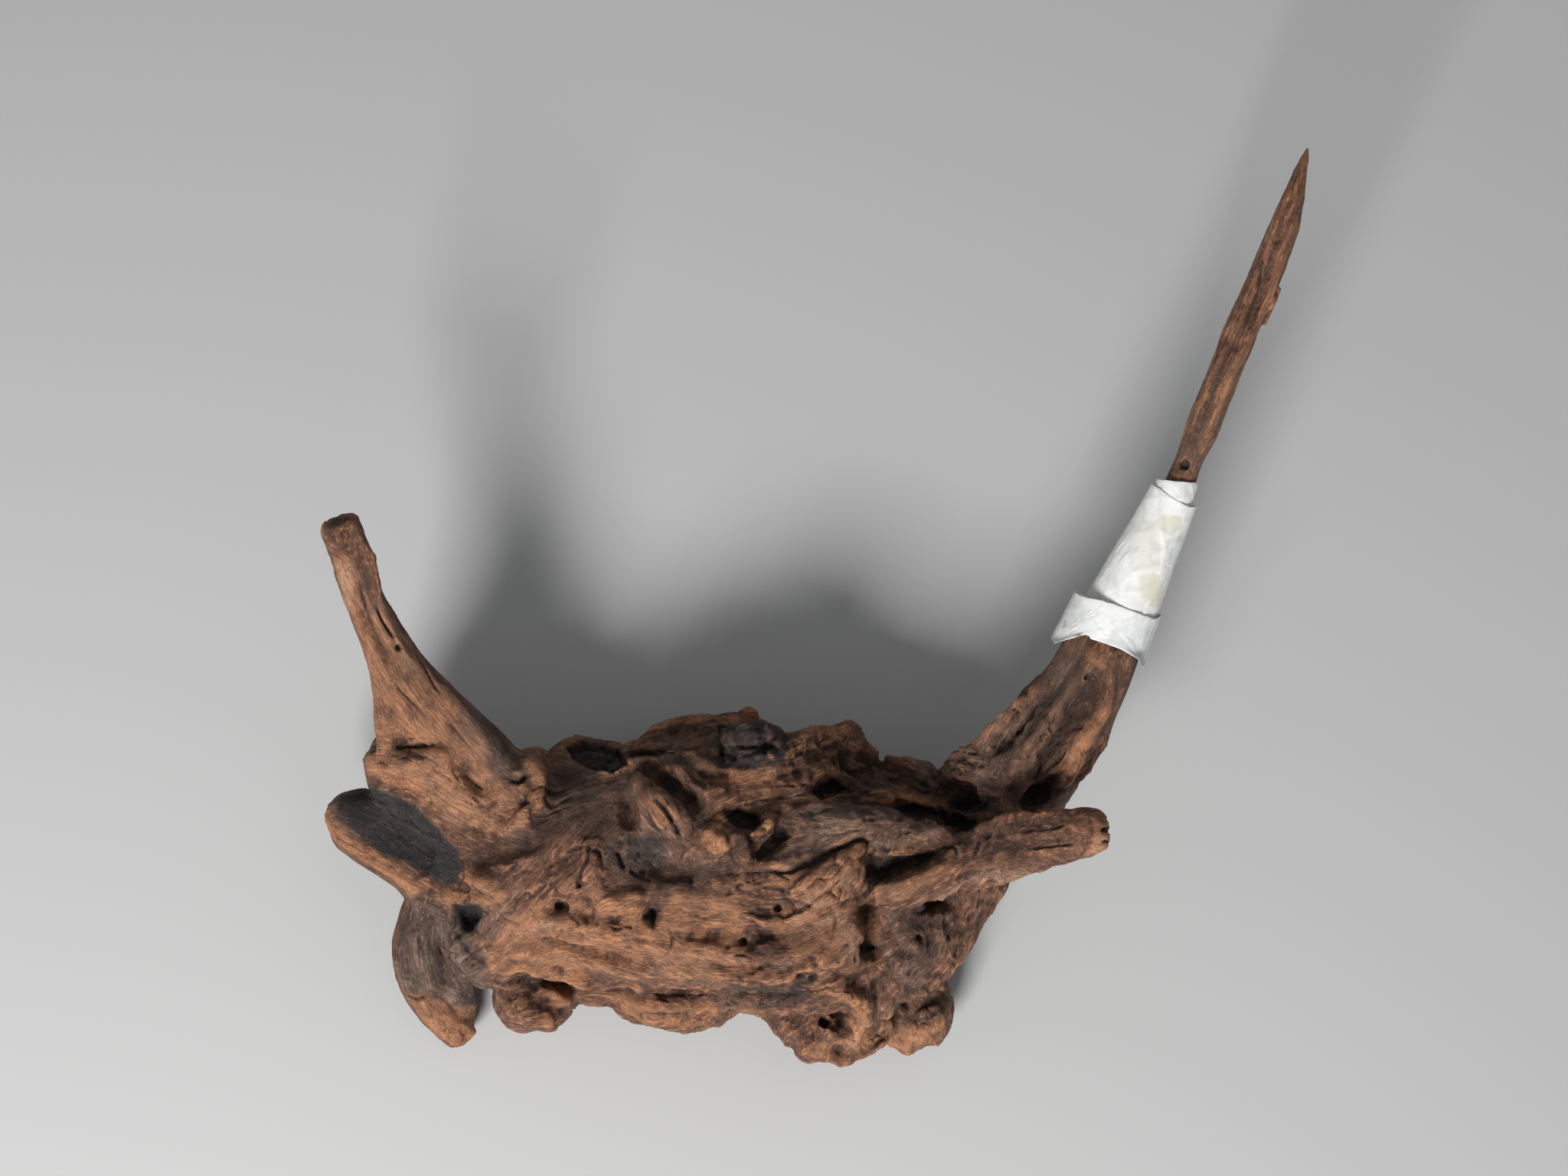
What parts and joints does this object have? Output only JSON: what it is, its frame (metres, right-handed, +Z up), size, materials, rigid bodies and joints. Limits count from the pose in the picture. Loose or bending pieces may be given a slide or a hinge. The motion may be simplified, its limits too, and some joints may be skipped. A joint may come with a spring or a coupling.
{
  "type": "driftwood",
  "caption": "Gnarled driftwood root crown with two long rising roots, a broken stub, worn feet, and white paper tape wound round the longest root.",
  "frame": {"origin": "on the ground, under the middle of the piece's bounding box", "axes": "+Z up; +X from the blackened lobe at the left end towards the stub and the longest root's tip; +Y from the near feet towards the two raised root ends"},
  "size_m": [0.657, 0.5878, 0.244],
  "materials": {
    "wood": "dry, weathered, coarse grain with charred patches",
    "paper_tape": "matt, creased, slightly translucent"
  },
  "bodies": {
    "root": {"driftwood": "wood", "inner_tape": "paper_tape", "long_tape": "paper_tape", "lower_tape": "paper_tape"}
  },
  "joints": []
}
